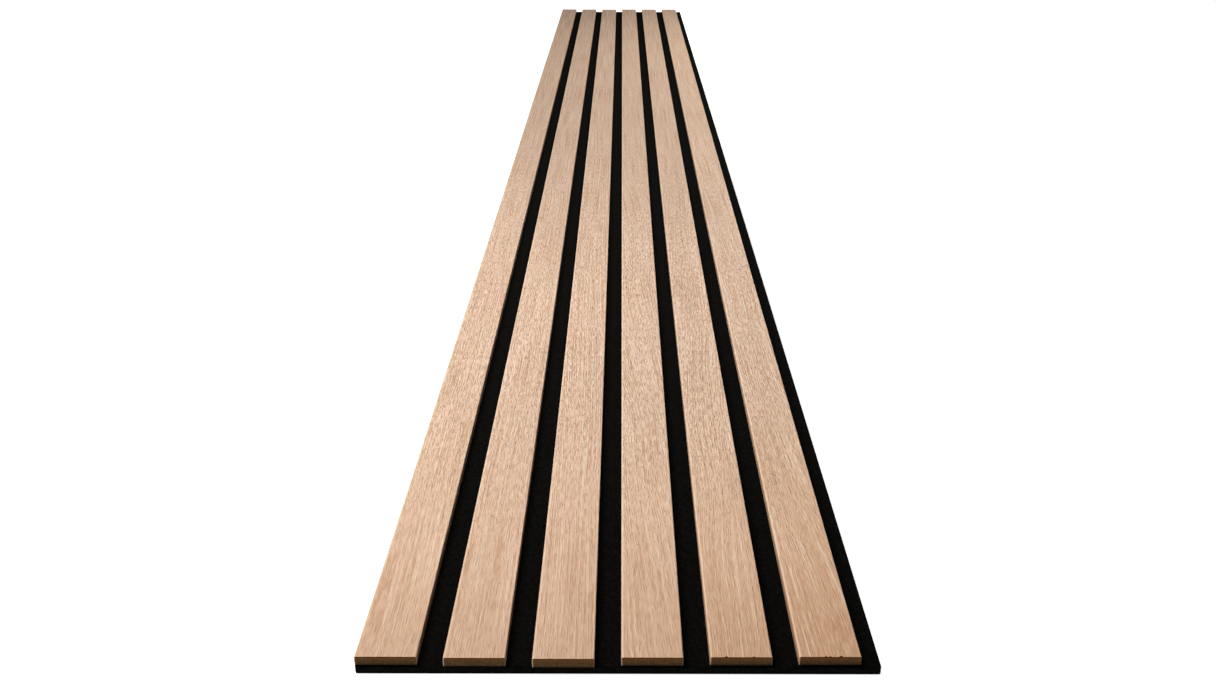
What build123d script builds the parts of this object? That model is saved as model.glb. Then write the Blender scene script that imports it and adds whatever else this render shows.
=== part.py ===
import os

from build123d import *

# An acoustic wall panel lying on its back: six veneered slats side by side on one sheet of black felt.
# The origin is the centre of the felt's back face. X runs across the slats, Y along them and +Z out of their
# faces, so the near end is at -Y. All sizes are in millimetres.

# Felt sheet
panel_length = 2400.0
felt_thickness = 5.0
felt_margin = 11.5  # bare felt beyond the last slat, where the next panel butts on
felt_corner_radius = 1.5  # the four corners, worn round in plan

# Slats, measured over their veneer
slat_width = 35.0
slat_height = 6.0
slat_gap = 15.0  # clear groove between two slats

# How far each slat's sawn end lies behind the felt's near edge, from the left slat to the right one
near_set_backs = [1.4, 0.6, 0.0, 1.2, 1.6, 2.0]

# Veneer, folded over the core's face and down both its sides
veneer_thickness = 0.6
core_edge_radius = 0.2  # eased edge that the veneer bends over

# Splinters torn out of the face veneer at the near end: slat number, distance from the slat's left side,
# width along the sawn edge, depth behind it
torn_splinters = [
    (5, 8.9, 1.9, 1.1),
    (5, 24.3, 1.6, 0.9),
    (6, 14.9, 1.5, 0.9),
    (6, 17.3, 1.2, 0.7),
    (6, 23.4, 2.1, 1.2),
]
splinter_lean = 0.3  # share of its width by which a splinter's tip lies right of its middle

# Sizes that follow
slat_count = len(near_set_backs)
slat_pitch = slat_width + slat_gap
slat_length = panel_length - max(near_set_backs)
panel_width = slat_pitch * (slat_count - 1) + slat_width + felt_margin
core_width = slat_width - 2 * veneer_thickness
core_height = slat_height - veneer_thickness
face_edge_radius = core_edge_radius + veneer_thickness
left_edge = -panel_width / 2
near_edge = -panel_length / 2


def slat_left(number):
    return left_edge + (number - 1) * slat_pitch


def bar_section(width, height, edge_radius):
    # Seen from the near end: a rectangle that stands on its base line, with its two upper corners rounded
    section = Rectangle(width, height, align=(Align.CENTER, Align.MIN))
    upper_corners = section.vertices().group_by(Axis.Y)[-1]
    return fillet(upper_corners, edge_radius)


def laid_on_felt(section, number, set_back):
    # Draws the section out along the slat, from its near end to its far end
    far_end = near_edge + set_back + slat_length
    slat_middle = slat_left(number) + slat_width / 2
    far_plane = Plane(origin=(slat_middle, far_end, felt_thickness), x_dir=(1, 0, 0), z_dir=(0, -1, 0))
    return extrude(far_plane * section, slat_length)


def splinter(number, set_back, from_left, width, depth):
    # A leaning three-cornered notch, as deep as the veneer is thick, open at the near end and at the face
    outline = Polygon((-width / 2, 0), (width / 2, 0), (splinter_lean * width, depth), align=None)
    place = Pos(slat_left(number) + from_left, near_edge + set_back, felt_thickness + core_height)
    return place * extrude(outline, slat_height)


def felt_sheet():
    outline = RectangleRounded(panel_width, panel_length, felt_corner_radius)
    return extrude(outline, felt_thickness)


def slat_core(number, set_back):
    return laid_on_felt(bar_section(core_width, core_height, core_edge_radius), number, set_back)


def slat_veneer(number, set_back):
    # The same bend at both edges: the outside of the slat less its core leaves the folded veneer
    outside = bar_section(slat_width, slat_height, face_edge_radius)
    veneer = laid_on_felt(outside - bar_section(core_width, core_height, core_edge_radius), number, set_back)
    for on_slat, from_left, width, depth in torn_splinters:
        if on_slat == number:
            veneer -= splinter(number, set_back, from_left, width, depth)
    return veneer


os.makedirs("parts", exist_ok=True)
export_step(felt_sheet(), "parts/felt_backing.step")
for number, set_back in enumerate(near_set_backs, start=1):
    export_step(slat_core(number, set_back), f"parts/slat_{number}_core.step")
    export_step(slat_veneer(number, set_back), f"parts/slat_{number}_veneer.step")
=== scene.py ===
import math

import bpy
import numpy as np
from mathutils import Matrix, Vector


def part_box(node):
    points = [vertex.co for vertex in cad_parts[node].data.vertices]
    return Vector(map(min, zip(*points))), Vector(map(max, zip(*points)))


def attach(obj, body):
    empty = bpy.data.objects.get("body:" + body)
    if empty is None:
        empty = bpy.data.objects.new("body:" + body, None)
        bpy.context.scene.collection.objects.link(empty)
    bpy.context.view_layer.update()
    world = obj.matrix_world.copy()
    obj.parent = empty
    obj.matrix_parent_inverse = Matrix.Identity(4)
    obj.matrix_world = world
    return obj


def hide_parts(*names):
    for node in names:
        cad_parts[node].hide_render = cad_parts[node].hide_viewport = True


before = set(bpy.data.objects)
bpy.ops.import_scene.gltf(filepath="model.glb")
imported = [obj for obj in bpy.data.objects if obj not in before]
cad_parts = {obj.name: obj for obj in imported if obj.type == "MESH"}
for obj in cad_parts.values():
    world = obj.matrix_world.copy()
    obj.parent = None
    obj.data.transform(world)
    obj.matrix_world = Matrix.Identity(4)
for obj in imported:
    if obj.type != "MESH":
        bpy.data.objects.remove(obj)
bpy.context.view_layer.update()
print("frame loaded:", len(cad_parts), "nodes")

mm = 0.001  # the frame is in metres
slatCount = sum(name.endswith("_core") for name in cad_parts)


# Shader building

def asColour(shade):
    # a plain colour gets its alpha, and a wire or a whole colour stays as it is
    return (*shade, 1.0) if isinstance(shade, tuple) and len(shade) == 3 else shade


class Wire:
    # one output socket of a node; arithmetic on it adds Math nodes
    def __init__(self, finish, socket):
        self.finish = finish
        self.socket = socket

    def maths(self, operation, *terms):
        return self.finish.add("ShaderNodeMath", {"operation": operation}, dict(enumerate(terms)))

    def __add__(self, other):
        return self.maths("ADD", self, other)

    def __sub__(self, other):
        return self.maths("SUBTRACT", self, other)

    def __rsub__(self, other):
        return self.maths("SUBTRACT", other, self)

    def __mul__(self, other):
        return self.maths("MULTIPLY", self, other)

    __radd__ = __add__
    __rmul__ = __mul__


class Finish:
    # a material while it is being put together
    def __init__(self, name):
        self.material = bpy.data.materials.new(name)
        self.material.use_nodes = True
        self.tree = self.material.node_tree
        self.tree.nodes.clear()

    def add(self, kind, settings=None, inputs=None, output=0):
        node = self.tree.nodes.new(kind)
        for key, value in (settings or {}).items():
            if key == "stops":
                self.setStops(node.color_ramp, value)
            else:
                setattr(node, key, value)
        for key, value in (inputs or {}).items():
            if isinstance(value, Wire):
                self.tree.links.new(value.socket, node.inputs[key])
            else:
                node.inputs[key].default_value = value
        return Wire(self, node.outputs[output]) if node.outputs else None

    def setStops(self, ramp, stops):
        while len(ramp.elements) < len(stops):
            ramp.elements.new(1.0)
        for element, (place, shade) in zip(ramp.elements, stops):
            element.position = place
            element.color = (*shade, 1.0)

    def attribute(self, name, output="Vector"):
        return self.add("ShaderNodeAttribute", {"attribute_name": name}, output=output)

    def objectPlace(self):
        return self.add("ShaderNodeTexCoord", output="Object")

    def split(self, vector):
        kind = "ShaderNodeSeparateXYZ"
        return [self.add(kind, inputs={"Vector": vector}, output=axis) for axis in range(3)]

    def stretched(self, vector, size):
        # features of that size, in the units of the vector
        return self.add("ShaderNodeVectorMath", {"operation": "DIVIDE"}, {0: vector, 1: size})

    def noise(self, vector, size, detail, rough, twist=0.0):
        inputs = {"Vector": self.stretched(vector, size), "Scale": 1.0,
                  "Detail": detail, "Roughness": rough, "Distortion": twist}
        return self.add("ShaderNodeTexNoise", inputs=inputs)

    def spots(self, vector, size):
        inputs = {"Vector": self.stretched(vector, size), "Scale": 1.0}
        return self.add("ShaderNodeTexVoronoi", inputs=inputs)

    def ramp(self, value, stops):
        return self.add("ShaderNodeValToRGB", {"stops": stops}, {"Fac": value})

    def rescaled(self, value, fromLow, fromHigh, toLow=0.0, toHigh=1.0):
        # eased between the two ends, and level beyond them
        ends = {"From Min": fromLow, "From Max": fromHigh, "To Min": toLow, "To Max": toHigh}
        settings = {"interpolation_type": "SMOOTHSTEP"}
        return self.add("ShaderNodeMapRange", settings, {"Value": value, **ends})

    def mixed(self, share, first, second):
        # of two colours; sockets 6 and 7 and output 2 are the node's colour ones
        inputs = {0: share, 6: asColour(first), 7: asColour(second)}
        return self.add("ShaderNodeMix", {"data_type": "RGBA"}, inputs, output=2)

    def bump(self, height, distance):
        inputs = {"Height": height, "Distance": distance, "Strength": 1.0}
        return self.add("ShaderNodeBump", inputs=inputs)

    def close(self, **values):
        # ends in a Principled shader; spaces in socket names are written as underscores
        inputs = {key.replace("_", " "): value for key, value in values.items()}
        shader = self.add("ShaderNodeBsdfPrincipled", inputs=inputs)
        self.add("ShaderNodeOutputMaterial", inputs={"Surface": shader})
        return self.material


# Mesh building

def randomField(rng, across, along, size, reach):
    # smooth values from -1 to 1 at the given places, in blobs of that size;
    # reach is the largest place along each axis
    columns, rows = (int(reach[axis] / size[axis]) + 3 for axis in range(2))
    lattice = rng.uniform(-1, 1, (columns, rows))
    # at most just inside the last cell
    u = np.clip(across / size[0], 0, columns - 2.001)
    v = np.clip(along / size[1], 0, rows - 2.001)
    i, j = u.astype(int), v.astype(int)
    fu, fv = (f * f * (3 - 2 * f) for f in (u - i, v - j))
    near = lattice[i, j] * (1 - fu) + lattice[i + 1, j] * fu
    far = lattice[i, j + 1] * (1 - fu) + lattice[i + 1, j + 1] * fu
    return near * (1 - fv) + far * fv


def newPiece(name, vertices, faces, material, sharpAngle=35):
    mesh = bpy.data.meshes.new(name)
    mesh.from_pydata(vertices, [], faces)
    mesh.shade_smooth()
    mesh.set_sharp_from_angle(angle=math.radians(sharpAngle))
    mesh.materials.append(material)
    piece = bpy.data.objects.new(name, mesh)
    bpy.context.scene.collection.objects.link(piece)
    return piece


# Oak veneer

oak = {
    "shades": {
        "pinkish": (0.672, 0.457, 0.340),
        "yellowish": (0.622, 0.452, 0.313),
        "deepened": (0.570, 0.345, 0.205),  # painted shade towards the near end
        "nearEnd": (0.456, 0.242, 0.117),  # painted shade in the last stretch before the sawn end
        "foot": (0.300, 0.185, 0.110),  # painted shade down the sides, beside the felt
        "latewood": (0.500, 0.292, 0.172),
        "earlywood": (0.800, 0.618, 0.467),
        "pore": (0.370, 0.206, 0.127),
        "ray": (0.760, 0.577, 0.445),
        # painted highlight along the bends
        "paintedEdgeHighlight": (0.860, 0.670, 0.500),
        "stain": (0.430, 0.200, 0.075),
        "sawnFace": (0.060, 0.023, 0.006),  # the sawn end of the strip where it lies on the face: dark end grain, darkened further as a painted shadow line under the top edge
        # painted highlight on the left leg's sawn end and painted shade on the right one's, as lit from
        # the left; the right one's colour also darkens the sawn wood's streaks
        "sawnLeftLegHighlight": (0.380, 0.270, 0.195),
        "sawnRightLegShadeAndStreaks": (0.100, 0.060, 0.032),
    },
    "noises": {  # size in mm across the grain, in mm along it and for the seed, detail, roughness
        "cloud": ((9, 160, 1), 3, 0.6),
        "lines": ((1.5, 150, 1), 1, 0.5),
        "veins": ((1.3, 170, 1), 1, 0.5),
        "comesAndGoes": ((4, 19, 1), 1, 0.5),
        "fibres": ((0.8, 32, 1), 3, 0.65),
        "streaks": ((0.9, 150, 1), 1, 0.5),
        "calm": ((13, 130, 1), 1, 0.5),
        "rays": ((1.0, 10, 1), 1, 0.5),
        "bundles": ((11, 60, 1), 1, 0.5),
        "dashes": ((0.7, 10, 1), 1, 0.6),
        "dashesHere": ((5, 75, 1), 2, 0.5),
        "sawn": ((0.5, 0.5, 1), 2, 0.6),
    },
    "poreSize": (1.3, 9, 1),
    "levels": {  # two values of the noise or of the figure, then the strength at each of them
        "cloud": (0.36, 0.64, -0.40, 0.30),
        "lines": (0.48, 0.64, 0.0, 1.0),
        "comesAndGoes": (0.36, 0.60, 0.1, 1.0),
        "calm": (0.35, 0.62, 0.88, 1.12),
        "latewood": (-0.05, 0.75, 0.0, 0.92),
        "earlywood": (-0.75, 0.0, 0.48, 0.0),
        "rays": (0.54, 0.70, 0.0, 1.0),
        "bundles": (0.44, 0.58, 0.0, 1.0),
        "dashesHere": (0.36, 0.58, 0.85, 1.0),
        "dash": (0.53, 0.66, 0.0, 1.0),
        "glint": (0.46, 0.34, 0.0, 1.0),
        "pores": (0.10, 0.30, 1.0, 0.0),
        "poresHere": (0.10, 1.20, 0.0, 1.0),
        "roughness": (-0.5, 0.6, 0.47, 0.64),
        "sawn": (0.45, 0.70, 0.0, 0.4),
    },
    "weights": {"lines": 0.5, "veins": 2.3, "fibres": 0.9, "streaks": 2.2},  # in the figure
    # two places in mm from the near end, then the strength at each of them
    "warmthSwing": (700, 1400, 1.0, 0.55),
    "lineStrength": (60, 400, 1.15, 0.3),
    "fibreStrength": (30, 350, 0.70, 1.98),
    "deepenedReach": 420,  # mm from the near end
    "nearEndReach": 110,
    "nearEndShadeShare": 0.6,  # of the cut's painted near shade
    "raySlant": 8,  # degrees across the grain
    # how strongly each shows
    "ray": 0.45,
    "dash": 0.26,
    "glint": 0.30,
    "pore": 0.4,
    # painted shade down the sides towards the felt, and the height over which it fades
    "foot": 0.85,
    "footRise": 5.2 * mm,
    "bump": 0.30 * mm,
    "sawnRoughness": 0.9,
}

# each slat's own cut: lean is the grain's drift across for each unit along, wave its sideways swing
# in mm, figure how strong its lines are, warmth how pink it is, tone how light, then how much painted
# shade darkens its near end, and rays how many pale flecks cross it
slatCuts = [dict(zip(("lean", "wave", "figure", "warmth", "tone", "deep", "rays"), cut)) for cut in (
    (0.010, 3, 1.05, 0.70, 0.93, 0.50, 0.3),
    (-0.012, 4, 1.00, 0.70, 0.93, 0.50, 0.3),
    (0.005, 3, 1.13, 0.75, 0.96, 0.50, 0.3),
    (0.060, 6, 0.86, 0.60, 0.97, 0.55, 1.0),
    (-0.025, 8, 1.00, 0.65, 1.00, 0.80, 0.5),
    (0.050, 6, 0.95, 0.60, 1.05, 1.05, 0.5),
)]


def oakVeneer(name, cut, footHeight):
    # the grain attribute holds mm across the unrolled veneer, warped with the cut,
    # mm along it, and a seed
    finish = Finish(name)
    shade = {key: tuple(cut["tone"] * part for part in plain) for key, plain in oak["shades"].items()}
    grain = finish.attribute("grain")
    along = finish.split(grain)[1]

    def drawnFrom(kind, place=grain):
        return finish.noise(place, *oak["noises"][kind])

    def levelled(value, kind):
        return finish.rescaled(value, *oak["levels"][kind])

    # the ground colour
    swell = finish.rescaled(along, *oak["warmthSwing"])
    warmth = levelled(drawnFrom("cloud"), "cloud") * swell + cut["warmth"]
    ground = finish.mixed(warmth, shade["yellowish"], shade["pinkish"])
    # painted shade towards the near end, stronger in its last stretch
    deepened = finish.rescaled(along, 0, oak["deepenedReach"], cut["deep"], 0.0)
    ground = finish.mixed(deepened, ground, shade["deepened"])
    nearEnd = finish.rescaled(along, 0, oak["nearEndReach"], oak["nearEndShadeShare"] * cut["deep"], 0.0)
    ground = finish.mixed(nearEnd, ground, shade["nearEnd"])
    ground = finish.mixed(finish.attribute("stain", "Fac"), ground, shade["stain"])

    # long lines near the viewer, shorter fibres and streaks further on; 0.5 is a noise's middle
    weight = oak["weights"]
    lines = levelled(drawnFrom("lines"), "lines")
    comesAndGoes = levelled(drawnFrom("comesAndGoes"), "comesAndGoes")
    lineStrength = finish.rescaled(along, *oak["lineStrength"]) * comesAndGoes
    drawn = (lines - 0.2) * weight["lines"] + (drawnFrom("veins") - 0.5) * weight["veins"]
    strength = finish.rescaled(along, *oak["fibreStrength"])
    fibres, streaks = drawnFrom("fibres"), drawnFrom("streaks")
    grown = (fibres - 0.5) * weight["fibres"] + (streaks - 0.5) * weight["streaks"]
    calm = levelled(drawnFrom("calm"), "calm")
    figure = (drawn * lineStrength + grown * strength) * calm * cut["figure"]
    wood = finish.mixed(levelled(figure, "latewood"), ground, shade["latewood"])
    wood = finish.mixed(levelled(figure, "earlywood"), wood, shade["earlywood"])

    # pale flecks across the grain, then dark dashes with glints between them, and pores
    turn = (0, 0, math.radians(oak["raySlant"]))
    slanted = finish.add("ShaderNodeMapping", inputs={"Vector": grain, "Rotation": turn})
    ray = levelled(drawnFrom("rays", slanted), "rays")
    ray = ray * levelled(drawnFrom("bundles"), "bundles") * cut["rays"]
    wood = finish.mixed(ray * oak["ray"], wood, shade["ray"])
    dashes = drawnFrom("dashes")
    dashesHere = levelled(drawnFrom("dashesHere"), "dashesHere") * strength
    dash = levelled(dashes, "dash") * dashesHere
    glint = levelled(dashes, "glint") * dashesHere
    wood = finish.mixed(dash * oak["dash"], wood, shade["pore"])
    wood = finish.mixed(glint * oak["glint"], wood, shade["ray"])
    pore = levelled(finish.spots(grain, oak["poreSize"]), "pores") * levelled(dashesHere, "poresHere")
    wood = finish.mixed(pore * oak["pore"], wood, shade["pore"])

    # painted highlights beside the bends, and painted shade down the sides towards the felt
    wood = finish.mixed(finish.attribute("edge", "Fac"), wood, shade["paintedEdgeHighlight"])
    height = finish.split(finish.objectPlace())[2]
    # painted shade, darkest at the feet beside the felt
    foot = finish.rescaled(height, footHeight, footHeight + oak["footRise"], oak["foot"], 0.0)
    wood = finish.mixed(foot, wood, shade["foot"])
    relief = 0.5 - figure * 0.45 - dash * 0.6 - pore * 0.5 + ray * 0.3 + glint * 0.3
    normal = finish.bump(relief, oak["bump"])
    rough = levelled(figure, "roughness")
    return finish.close(Base_Color=wood, Roughness=rough, Normal=normal, Specular_IOR_Level=0.35)


def sawnOak():
    # the strip's sawn ends, with a painted highlight down the left leg and painted shade down the right;
    # leg is 0 down the left leg, 0.5 over the face and 1 down the right leg
    finish = Finish("sawn_veneer")
    left, face, right = (oak["shades"][key] for key in ("sawnLeftLegHighlight", "sawnFace", "sawnRightLegShadeAndStreaks"))
    wood = finish.ramp(finish.attribute("leg", "Fac"), [(0.0, left), (0.5, face), (1.0, right)])
    streaks = finish.noise(finish.attribute("grain"), *oak["noises"]["sawn"])
    # dark streaks in the sawn wood, in the right leg's shaded colour
    wood = finish.mixed(finish.rescaled(streaks, *oak["levels"]["sawn"]), wood, right)
    return finish.close(Base_Color=wood, Roughness=oak["sawnRoughness"], Specular_IOR_Level=0.05)


# Wrapped veneer: one folded strip, from foot to foot over the slat's face

veneerForm = {
    "bendRadius": 0.8 * mm,  # outside
    "bendSteps": 5,
    "legSteps": 4,
    "faceStep": 0.4 * mm,
    "nearStations": (0, 3, 9, 15, 21, 27, 33),  # mm from the near end, close together at the stain
    "farStations": (9, 3, 0),  # mm from the far end
    "stationStep": 20 * mm,
    "swings": (((40, 260), 1.0), ((25, 90), 0.4)),  # sizes in mm and shares of the grain's swing
    "straightens": ((700, 1300), (1.0, 0.35)),  # mm from the near end, and the swing that is left
    "leansUpTo": 900,  # mm from the near end
    "leanBeyond": 0.3,  # share of the lean that is left there
    "ridgeSize": (1.3, 160),
    "ridgeMargin": (80, 320),  # mm on the left and in all, for grain that leans out of the slat
    "seedStep": 37.0,  # keeps the slats' figures apart
    "relief": 0.03 * mm,  # how far the soft grain lies below the hard
    "sawWander": 0.10 * mm,  # how ragged the sawn ends are
    "splinterLean": 0.3,  # share of its width by which a splinter's tip lies right of its middle
    "edgeLine": 0.9,  # mm of painted highlight beside each bend
    "edgePaleness": (0.55, 0.15),  # strength of the painted highlight on the left and the right; the key light falls from the left
    "map": {
        "rowLength": 600,  # mm of the outside in each of its strips
        "rowStep": 0.216,  # shares of the map from here on
        "rowHeight": 0.208,
        "margin": 0.004,
        "lining": (0.870, 0.040),  # base and height of its strip
        "leftFoot": (0.918, 0.010),
        "rightFoot": (0.934, 0.010),
        "nearEnd": (0.950, 0.014),
        "farEnd": (0.970, 0.014),
    },
}

# darker spots in the wood: slat, place across and along, half width, half length, in mm, and strength
stains = [(6, 25.5, 26, 4.5, 9, 0.65)]

# splinters torn out of the face at the near end: slat, distance from its left side, width, depth, in mm
tornSplinters = [
    (5, 8.9, 1.9, 1.1),
    (5, 24.3, 1.6, 0.9),
    (6, 14.9, 1.5, 0.9),
    (6, 17.3, 1.2, 0.7),
    (6, 23.4, 2.1, 1.2),
]


def veneerSection(low, high):
    # outline from the left foot over the face to the right foot: places, outward normals
    r = veneerForm["bendRadius"]
    leg = np.linspace(low.z, high.z - r, veneerForm["legSteps"] + 1)[:-1]
    turn = np.linspace(0, math.pi / 2, veneerForm["bendSteps"] + 1)
    faceCount = round((high.x - low.x - 2 * r) / veneerForm["faceStep"])
    face = np.linspace(low.x + r, high.x - r, faceCount + 1)[1:-1]
    bend = [(-math.cos(a), math.sin(a)) for a in turn]
    leftPlaces = [(low.x, z) for z in leg] + [(low.x + r + r * x, high.z - r + r * z) for x, z in bend]
    leftNormals = [(-1, 0)] * len(leg) + bend
    rightPlaces = [(low.x + high.x - x, z) for x, z in reversed(leftPlaces)]
    rightNormals = [(-x, z) for x, z in reversed(leftNormals)]
    places = np.array(leftPlaces + [(x, high.z) for x in face] + rightPlaces)
    normals = np.array(leftNormals + [(0, 1)] * len(face) + rightNormals)
    return places, normals


def sawnEnd(rng, places, number):
    # how far each point of the section lies behind the near end
    wander = rng.uniform(0, veneerForm["sawWander"], len(places))
    left = places[0][0]
    for slat, fromLeft, width, depth in tornSplinters:
        if slat == number:
            tip = fromLeft + veneerForm["splinterLean"] * width
            notch = [fromLeft - width / 2, tip, fromLeft + width / 2]
            wander += mm * np.interp((places[:, 0] - left) / mm, notch, [0, depth, 0])
    return wander


def stripMap(mesh, faces, kinds, along, across, skin):
    # a map in strips: the outside in four lengths, one above the other, then the rest
    form = veneerForm["map"]
    rowLength, margin = form["rowLength"], form["margin"]
    length = along.max()
    layer = mesh.uv_layers.new(name="OFBake")
    places = []
    for face, kind in zip(faces, kinds):
        row = int(along[list(face)].min() // rowLength)
        for corner in face:
            if kind == "outside":
                u = along[corner] / rowLength - row
                v = row * form["rowStep"] + across[corner] * form["rowHeight"]
            else:
                base, tall = form[kind]
                u = across[corner] if kind in ("nearEnd", "farEnd") else along[corner] / length
                v = base + tall * (across[corner] if kind == "lining" else skin[corner])
            places += (margin + (1 - 2 * margin) * u, margin + (1 - 2 * margin) * v)
    layer.data.foreach_set("uv", places)


def veneerStations(length):
    # how far from the near end each row of points lies
    step = veneerForm["stationStep"]
    near, far = (np.array(veneerForm[key]) * mm for key in ("nearStations", "farStations"))
    return np.concatenate([near, np.arange(2 * step, length, step)[:-1], length - far])


def leaningGrain(rng, across, along, reach, cut):
    # mm across the figure at each point, where it leans and swings but runs straighter further on,
    # and how high the grain stands there, from -1 to 1
    swing = sum(share * randomField(rng, across, along, size, reach)
                for size, share in veneerForm["swings"])
    straighter = np.interp(along, *veneerForm["straightens"])
    kink = veneerForm["leansUpTo"]
    drifts = [0, kink, kink + veneerForm["leanBeyond"] * (reach[1] - kink)]
    drift = np.interp(along, [0, kink, reach[1]], drifts)
    warped = across + cut["lean"] * drift + cut["wave"] * swing * straighter
    left, whole = veneerForm["ridgeMargin"]
    ridge = randomField(rng, warped + left, along, veneerForm["ridgeSize"], (reach[0] + whole, reach[1]))
    return warped, ridge


def stripFaces(count, rows):
    # the two skins, then the feet and the sawn ends that join them, all facing outward
    back = count * rows
    last = back - count
    faces, kinds = [], []
    for start in range(0, last, count):
        for a in range(start, start + count - 1):
            faces.append((a, a + 1, a + count + 1, a + count))
            faces.append((back + a, back + a + count, back + a + count + 1, back + a + 1))
            kinds += ["outside", "lining"]
        a, b = start, start + count - 1
        faces.append((a, a + count, back + a + count, back + a))
        faces.append((b, back + b, back + b + count, b + count))
        kinds += ["leftFoot", "rightFoot"]
    for a in range(count - 1):
        faces.append((a, back + a, back + a + 1, a + 1))
        faces.append((last + a, last + a + 1, back + last + a + 1, back + last + a))
        kinds += ["nearEnd", "farEnd"]
    return faces, kinds


def addAttribute(mesh, name, values):
    # a number or a vector for each point of the outside, and the same for the lining's points
    both = np.concatenate([values, values])
    kind, field = ("FLOAT", "value") if both.ndim == 1 else ("FLOAT_VECTOR", "vector")
    mesh.attributes.new(name, kind, "POINT").data.foreach_set(field, both.ravel())


def stainStrength(number, across, along):
    strength = np.zeros(len(across))
    for slat, atAcross, atAlong, halfWidth, halfLength, strong in stains:
        if slat == number:
            offAcross, offAlong = (across - atAcross) / halfWidth, (along - atAlong) / halfLength
            strength += strong * np.exp(-offAcross ** 2 - offAlong ** 2)
    return strength


def veneerPiece(number, sawnWood):
    node = f"slat_{number}_veneer"
    cut = slatCuts[number - 1]
    low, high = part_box(node)
    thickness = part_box(f"slat_{number}_core")[0].x - low.x
    rng = np.random.default_rng(number)
    places, normals = veneerSection(low, high)
    steps = np.hypot(*np.diff(places, axis=0).T)
    unrolled = np.concatenate([[0], np.cumsum(steps)]) / mm
    count, width, length = len(places), unrolled[-1], high.y - low.y
    stations = veneerStations(length)
    across, along = (a.ravel() for a in np.meshgrid(unrolled, stations / mm))
    warped, ridge = leaningGrain(rng, across, along, (width, length / mm), cut)

    # the points of the outside, sunk between the ridges, and of the lining
    sunk = veneerForm["relief"] * (0.5 - 0.5 * ridge)
    shift = np.zeros((len(stations), count))
    shift[0] = sawnEnd(rng, places, number)
    shift[-1] = -rng.uniform(0, veneerForm["sawWander"], count)
    x, z = (np.tile(places[:, axis], len(stations)) for axis in range(2))
    nx, nz = (np.tile(normals[:, axis], len(stations)) for axis in range(2))
    y = low.y + along * mm + shift.ravel()
    outer = np.column_stack([x - nx * sunk, y, z - nz * sunk])
    lining = np.column_stack([x - nx * thickness, y, z - nz * thickness])
    vertices = np.vstack([outer, lining])
    faces, kinds = stripFaces(count, len(stations))

    wood = oakVeneer(f"oak_veneer_{number}", cut, low.z)
    piece = newPiece(f"{node}_oak", vertices.tolist(), faces, wood)
    mesh = piece.data
    mesh.materials.append(sawnWood)
    sawn = [int(kind in ("nearEnd", "farEnd")) for kind in kinds]
    mesh.polygons.foreach_set("material_index", sawn)
    skin = np.repeat([0, 1], len(outer))
    stripMap(mesh, faces, kinds, np.tile(along, 2), np.tile(across / width, 2), skin)
    seed = np.full(len(along), veneerForm["seedStep"] * number)
    addAttribute(mesh, "grain", np.column_stack([warped, along, seed]))

    # bend is where the left bend runs out into the face, in mm across
    bend = (high.z - low.z - veneerForm["bendRadius"] * (1 - math.pi / 2)) / mm
    fromBend = np.minimum(np.abs(across - bend), np.abs(width - bend - across))
    # painted highlight beside each bend, stronger on the left, towards the key light
    paleness = np.where(across < width / 2, *veneerForm["edgePaleness"])
    addAttribute(mesh, "edge", paleness * np.clip(1 - fromBend / veneerForm["edgeLine"], 0, 1))
    addAttribute(mesh, "stain", stainStrength(number, across - bend, along))
    # each leg's share rises within half a mm below its bend
    leftLeg, rightLeg = (np.clip(inLeg * 2, 0, 1) for inLeg in (bend - across, across - width + bend))
    addAttribute(mesh, "leg", 0.5 + 0.5 * (rightLeg - leftLeg))
    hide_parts(node)
    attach(piece, "root")


# Fibreboard cores

fibreboard = {
    "rust": (0.112, 0.040, 0.009),  # the hard skin under the veneer
    "brown": (0.094, 0.051, 0.022),
    "dark": (0.040, 0.023, 0.011),
    "fibre": (0.185, 0.104, 0.044),
    "fineNoise": ((0.35 * mm, 0.35 * mm, 0.2 * mm), 3, 0.65),  # size, detail, roughness
    "coarseNoise": ((1.6 * mm, 1.6 * mm, 0.5 * mm), 2, 0.5),
    "darkUpTo": 0.35,  # share of the core's height, as the next two
    "skin": (0.55, 0.92),
    # painted shade at the foot of the sawn end
    "footDarkness": 0.7,
    "fibreShare": 0.6,
    "bump": 0.12 * mm,
    "roughness": 0.85,
}


def sawnFibreboard(low, high):
    # painted shade, darker towards the foot beside the felt, and rust-brown in the skin towards the top
    finish = Finish("mdf_core")
    place = finish.objectPlace()
    fine = finish.noise(place, *fibreboard["fineNoise"])
    coarse = finish.noise(place, *fibreboard["coarseNoise"])
    height = finish.split(place)[2]
    darkTop, skinStart, skinFull = (low + share * (high - low)
                                    for share in (fibreboard["darkUpTo"], *fibreboard["skin"]))
    brown = finish.mixed(finish.rescaled(coarse, 0.35, 0.65), fibreboard["dark"], fibreboard["brown"])
    # painted shade towards the foot, beside the felt
    foot = finish.rescaled(height, low, darkTop, fibreboard["footDarkness"], 0.0)
    brown = finish.mixed(foot, brown, fibreboard["dark"])
    brown = finish.mixed(finish.rescaled(height, skinStart, skinFull), brown, fibreboard["rust"])
    fibres = finish.rescaled(fine, 0.52, 0.74, 0.0, fibreboard["fibreShare"])
    brown = finish.mixed(fibres, brown, fibreboard["fibre"])
    normal = finish.bump(fine, fibreboard["bump"])
    rough = fibreboard["roughness"]
    return finish.close(Base_Color=brown, Roughness=rough, Normal=normal, Specular_IOR_Level=0.05)


# Felt board

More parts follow.
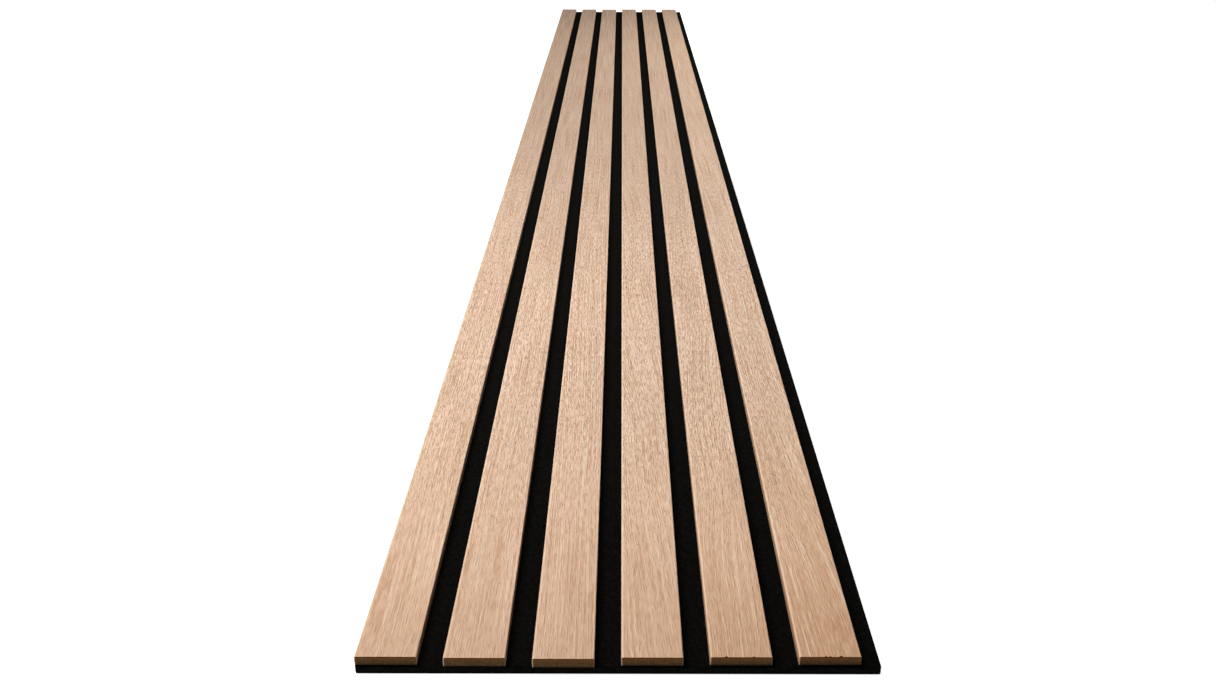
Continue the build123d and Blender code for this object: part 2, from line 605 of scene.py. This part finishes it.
felt = {
    "ground": (0.0009, 0.0009, 0.0007),
    "mottle": (0.0032, 0.0031, 0.0026),
    "strayFibre": (0.048, 0.045, 0.038),
    "mottleNoise": ((2.2 * mm, 2.2 * mm, 2.2 * mm), 3, 0.6),  # size, detail, roughness
    "webNoise": ((0.5 * mm, 0.5 * mm, 0.5 * mm), 3, 0.7, 1.5),  # and twist
    "strandNoise": ((0.25 * mm, 1.6 * mm, 0.25 * mm), 2, 0.6, 2.5),
    "strayShare": 0.6,
    "bump": 0.25 * mm,
    "seed": 20,
    "sharpAngle": 50,  # degrees
    "edgeRoll": 0.5 * mm,  # how far the pressed edges round over
    "rollSteps": 4,
    "cornerRadius": 1.5 * mm,
    "grooveStep": 1.5 * mm,
    "stationStep": 5 * mm,
    "leastStep": 0.02 * mm,
    "waviness": 0.14 * mm,
    "waveSize": (3.1, 9.0),  # mm
    "waveMargin": 0.3 * mm,  # left level beside each slat
    "wallRows": 5,
    "wallPull": 0.12 * mm,  # how uneven the side walls are
}


def blackFelt():
    finish = Finish("felt")
    place = finish.objectPlace()
    mottle = finish.noise(place, *felt["mottleNoise"])
    web = finish.noise(place, *felt["webNoise"])
    strands = finish.noise(place, *felt["strandNoise"])
    shade = finish.mixed(finish.rescaled(mottle, 0.38, 0.66), felt["ground"], felt["mottle"])
    stray = finish.rescaled(strands, 0.60, 0.78, 0.0, felt["strayShare"])
    shade = finish.mixed(stray, shade, felt["strayFibre"])
    normal = finish.bump(web + mottle, felt["bump"])
    return finish.close(Base_Color=shade, Roughness=1.0, Normal=normal, Specular_IOR_Level=0.028)


def gridLines(low, high, breaks, step):
    # mesh lines from low to high, close together in the given stretches and at the rolled edges
    roll, corner = felt["edgeRoll"], felt["cornerRadius"]
    rim = [roll * (1 - math.cos(a)) for a in np.linspace(0, math.pi / 2, felt["rollSteps"])]
    lines = [low + r for r in rim] + [low + corner]
    for start, end in breaks:
        lines += list(np.linspace(start, end, max(2, round((end - start) / step) + 1)))
    lines += [high - corner] + [high - r for r in reversed(rim)]
    lines = sorted(line for line in lines if low <= line <= high)
    return np.array([a for a, b in zip(lines, lines[1:] + [math.inf]) if b - a > felt["leastStep"]])


def roundedCorners(x, y, low, high):
    # pulls the grid's square corners in to the sheet's rounded ones
    r = felt["cornerRadius"]
    midX, midY = (low.x + high.x) / 2, (low.y + high.y) / 2
    halfX, halfY = (high.x - low.x) / 2, (high.y - low.y) / 2
    a = np.clip(np.abs(x - midX) - (halfX - r), 0, r) / r
    b = np.clip(np.abs(y - midY) - (halfY - r), 0, r) / r
    return (x - np.sign(x - midX) * a * (1 - np.sqrt(1 - b * b / 2)) * r,
            y - np.sign(y - midY) * b * (1 - np.sqrt(1 - a * a / 2)) * r)


def sheetFaces(nx, ny, rim, walls):
    # the top and the back, then the rings of faces between them, all facing outward
    count = nx * ny
    faces = []
    for j in range(ny - 1):
        for i in range(nx - 1):
            a = j * nx + i
            faces.append((a, a + 1, a + nx + 1, a + nx))
            faces.append((count + a, count + a + nx, count + a + nx + 1, count + a + 1))
    around = len(rim)
    rings = [rim] + [[2 * count + w * around + k for k in range(around)] for w in range(walls)]
    rings += [[count + i for i in rim]]
    for upper, lower in zip(rings, rings[1:]):
        for k in range(around):
            after = (k + 1) % around
            faces.append((upper[k], lower[k], lower[after], upper[after]))
    return faces


def feltPiece():
    low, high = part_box("felt_backing")
    rng = np.random.default_rng(felt["seed"])
    slats = [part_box(f"slat_{n}_veneer") for n in range(1, slatCount + 1)]
    corner, roll = felt["cornerRadius"], felt["edgeRoll"]
    starts = [slat[1].x for slat in slats]
    bare = list(zip(starts, [slat[0].x for slat in slats[1:]] + [high.x - corner]))
    xs = gridLines(low.x, high.x, bare, felt["grooveStep"])
    ys = gridLines(low.y, high.y, [(low.y + corner, high.y - corner)], felt["stationStep"])
    nx, ny = len(xs), len(ys)
    gx, gy = (a.ravel() for a in np.meshgrid(xs, ys))

    # rolled edges, and waves where the felt shows
    fromEdge = np.minimum.reduce([gx - low.x, high.x - gx, gy - low.y, high.y - gy])
    inside = np.clip(roll - fromEdge, 0, roll)
    drop = roll - np.sqrt(roll * roll - inside * inside)
    margin = felt["waveMargin"]
    shows = np.zeros(len(gx))
    for start, end in bare:
        shows = np.maximum(shows, ((gx > start + margin) & (gx < end - margin)).astype(float))
    reach = ((high.x - low.x) / mm, (high.y - low.y) / mm)
    waves = randomField(rng, (gx - low.x) / mm, (gy - low.y) / mm, felt["waveSize"], reach)
    topZ = high.z - drop - felt["waviness"] * shows * (0.5 + 0.5 * waves)
    px, py = roundedCorners(gx, gy, low, high)
    top = np.column_stack([px, py, topZ])
    bottom = np.column_stack([px, py, low.z + drop])

    # side walls, pulled in unevenly
    rim = list(range(nx)) + [j * nx + nx - 1 for j in range(1, ny)]
    rim += [(ny - 1) * nx + i for i in range(nx - 2, -1, -1)] + [j * nx for j in range(ny - 2, 0, -1)]
    middle = np.array([(low.x + high.x) / 2, (low.y + high.y) / 2])
    half = np.array([(high.x - low.x) / 2, (high.y - low.y) / 2])
    walls = []
    for row in range(1, felt["wallRows"]):
        share = row / felt["wallRows"]
        ring = top[rim] * (1 - share) + bottom[rim] * share
        pull = rng.uniform(0, felt["wallPull"], len(rim))
        for axis in range(2):
            off = ring[:, axis] - middle[axis]
            atEdge = np.abs(off) > half[axis] - mm
            ring[:, axis] -= np.sign(off) * pull * atEdge
        walls.append(ring)
    vertices = np.vstack([top, bottom, *walls])
    faces = sheetFaces(nx, ny, rim, len(walls))
    piece = newPiece("felt_board", vertices.tolist(), faces, blackFelt(), felt["sharpAngle"])
    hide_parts("felt_backing")
    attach(piece, "root")


# Studio

studio = {
    "floor": (0.86, 0.86, 0.86),
    "glowNear": 0.40,
    "glowFar": 1.0,
    "glowReach": (0.2, 1.6),  # m from the middle, where the floor's own light starts and ends its rise
    "floorHalf": 12.0,  # m from its middle to its sides
    "backdrop": (1.0, 1.0, 1.0),
    "ambient": 0.02,
}

softboxes = [
    {"name": "key_softbox", "at": (-0.5, -0.8, 0.9), "towards": (0.0, -0.7, 0.0), "size": (0.8, 0.8),
     "watts": 17.9, "color": (1.0, 0.985, 0.96), "lights": True},
    {"name": "fill_softbox", "at": (0.3, 0.63, 0.9), "towards": (0.0, 0.63, 0.0), "size": (1.0, 1.0),
     "watts": 11.5, "color": (1.0, 0.99, 0.95), "lights": True},
    {"name": "back_card", "at": (0.6, 3.4, 2.0), "towards": (0.0, -0.5, 0.0), "size": (3.0, 1.6),
     "watts": 11, "color": (0.97, 1.0, 1.03), "lights": False},  # only adds a sheen
]


def makeStudio():
    floor = Finish("studio_floor")
    place = floor.objectPlace()
    distance = floor.add("ShaderNodeVectorMath", {"operation": "LENGTH"}, {0: place}, output=1)
    share = floor.rescaled(distance, *studio["glowReach"])
    glowColor = floor.mixed(share, (studio["glowNear"],) * 3, (studio["glowFar"],) * 3)
    diffuse = floor.add("ShaderNodeBsdfDiffuse", inputs={"Color": asColour(studio["floor"])})
    glow = floor.add("ShaderNodeEmission", inputs={"Color": glowColor, "Strength": 1.0})
    both = floor.add("ShaderNodeAddShader", inputs={0: diffuse, 1: glow})
    floor.add("ShaderNodeOutputMaterial", inputs={"Surface": both})
    half = studio["floorHalf"]
    corners = [(-half, -half, 0), (half, -half, 0), (half, half, 0), (-half, half, 0)]
    newPiece("studio_floor", corners, [(0, 1, 2, 3)], floor.material)
    world = bpy.data.worlds.new("studio_world")
    world.use_nodes = True
    nodes, links = world.node_tree.nodes, world.node_tree.links
    ambient = nodes["Background"]
    ambient.inputs["Color"].default_value = (1, 1, 1, 1)
    ambient.inputs["Strength"].default_value = studio["ambient"]
    backdrop = nodes.new("ShaderNodeBackground")
    backdrop.inputs["Color"].default_value = asColour(studio["backdrop"])
    seen = nodes.new("ShaderNodeMixShader")
    links.new(nodes.new("ShaderNodeLightPath").outputs["Is Camera Ray"], seen.inputs[0])
    links.new(ambient.outputs[0], seen.inputs[1])
    links.new(backdrop.outputs[0], seen.inputs[2])
    links.new(seen.outputs[0], nodes["World Output"].inputs["Surface"])
    bpy.context.scene.world = world
    for box in softboxes:
        lamp = bpy.data.lights.new(box["name"], "AREA")
        lamp.shape = "RECTANGLE"
        lamp.size, lamp.size_y = box["size"]
        lamp.energy = box["watts"]
        lamp.color = box["color"]
        holder = bpy.data.objects.new(box["name"], lamp)
        holder.location = box["at"]
        holder.visible_diffuse = box["lights"]
        holder.visible_camera = False
        holder.rotation_mode = "QUATERNION"
        aim = Vector(box["towards"]) - Vector(box["at"])
        holder.rotation_quaternion = aim.to_track_quat("-Z", "Y")
        bpy.context.scene.collection.objects.link(holder)
    bpy.context.scene.view_settings.view_transform = "Standard"


# Camera, fitted to the photograph's slat edges

view = {
    "place": (1.35 * mm, -1684.3 * mm, 433.5 * mm),
    "tilt": 25.09,  # degrees down
    "yaw": 0.048,  # degrees, as the roll
    "roll": 0.152,
    "focal": 1104.7,  # pixels, for the photograph's width
    "photoWidth": 1216,
    "middle": 622.0,  # the pixel column that the lens axis meets
    "sensor": 36.0,  # mm
}


def makeCamera():
    tilt, yaw, roll = (math.radians(view[key]) for key in ("tilt", "yaw", "roll"))
    forward = Vector((math.sin(yaw) * math.cos(tilt), math.cos(yaw) * math.cos(tilt), -math.sin(tilt)))
    level = Vector((math.cos(yaw), -math.sin(yaw), 0))
    raised = level.cross(forward)
    right = math.cos(roll) * level + math.sin(roll) * raised
    up = math.cos(roll) * raised - math.sin(roll) * level
    camera = bpy.data.cameras.new("camera")
    camera.sensor_width = view["sensor"]
    camera.lens = view["sensor"] * view["focal"] / view["photoWidth"]
    camera.shift_x = (view["photoWidth"] / 2 - view["middle"]) / view["photoWidth"]
    holder = bpy.data.objects.new("camera", camera)
    turned = Matrix((right, up, -forward)).transposed().to_4x4()
    holder.matrix_world = Matrix.Translation(view["place"]) @ turned
    bpy.context.scene.collection.objects.link(holder)
    bpy.context.scene.camera = holder


makeStudio()
makeCamera()
print("studio and camera made")

coreLow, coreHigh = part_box("slat_1_core")
mdf = sawnFibreboard(coreLow.z, coreHigh.z)
sawnWood = sawnOak()
for number in range(1, slatCount + 1):
    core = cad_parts[f"slat_{number}_core"]
    core.data.materials.clear()
    core.data.materials.append(mdf)
    veneerPiece(number, sawnWood)
print("slats made:", slatCount)

feltPiece()
print("felt made")
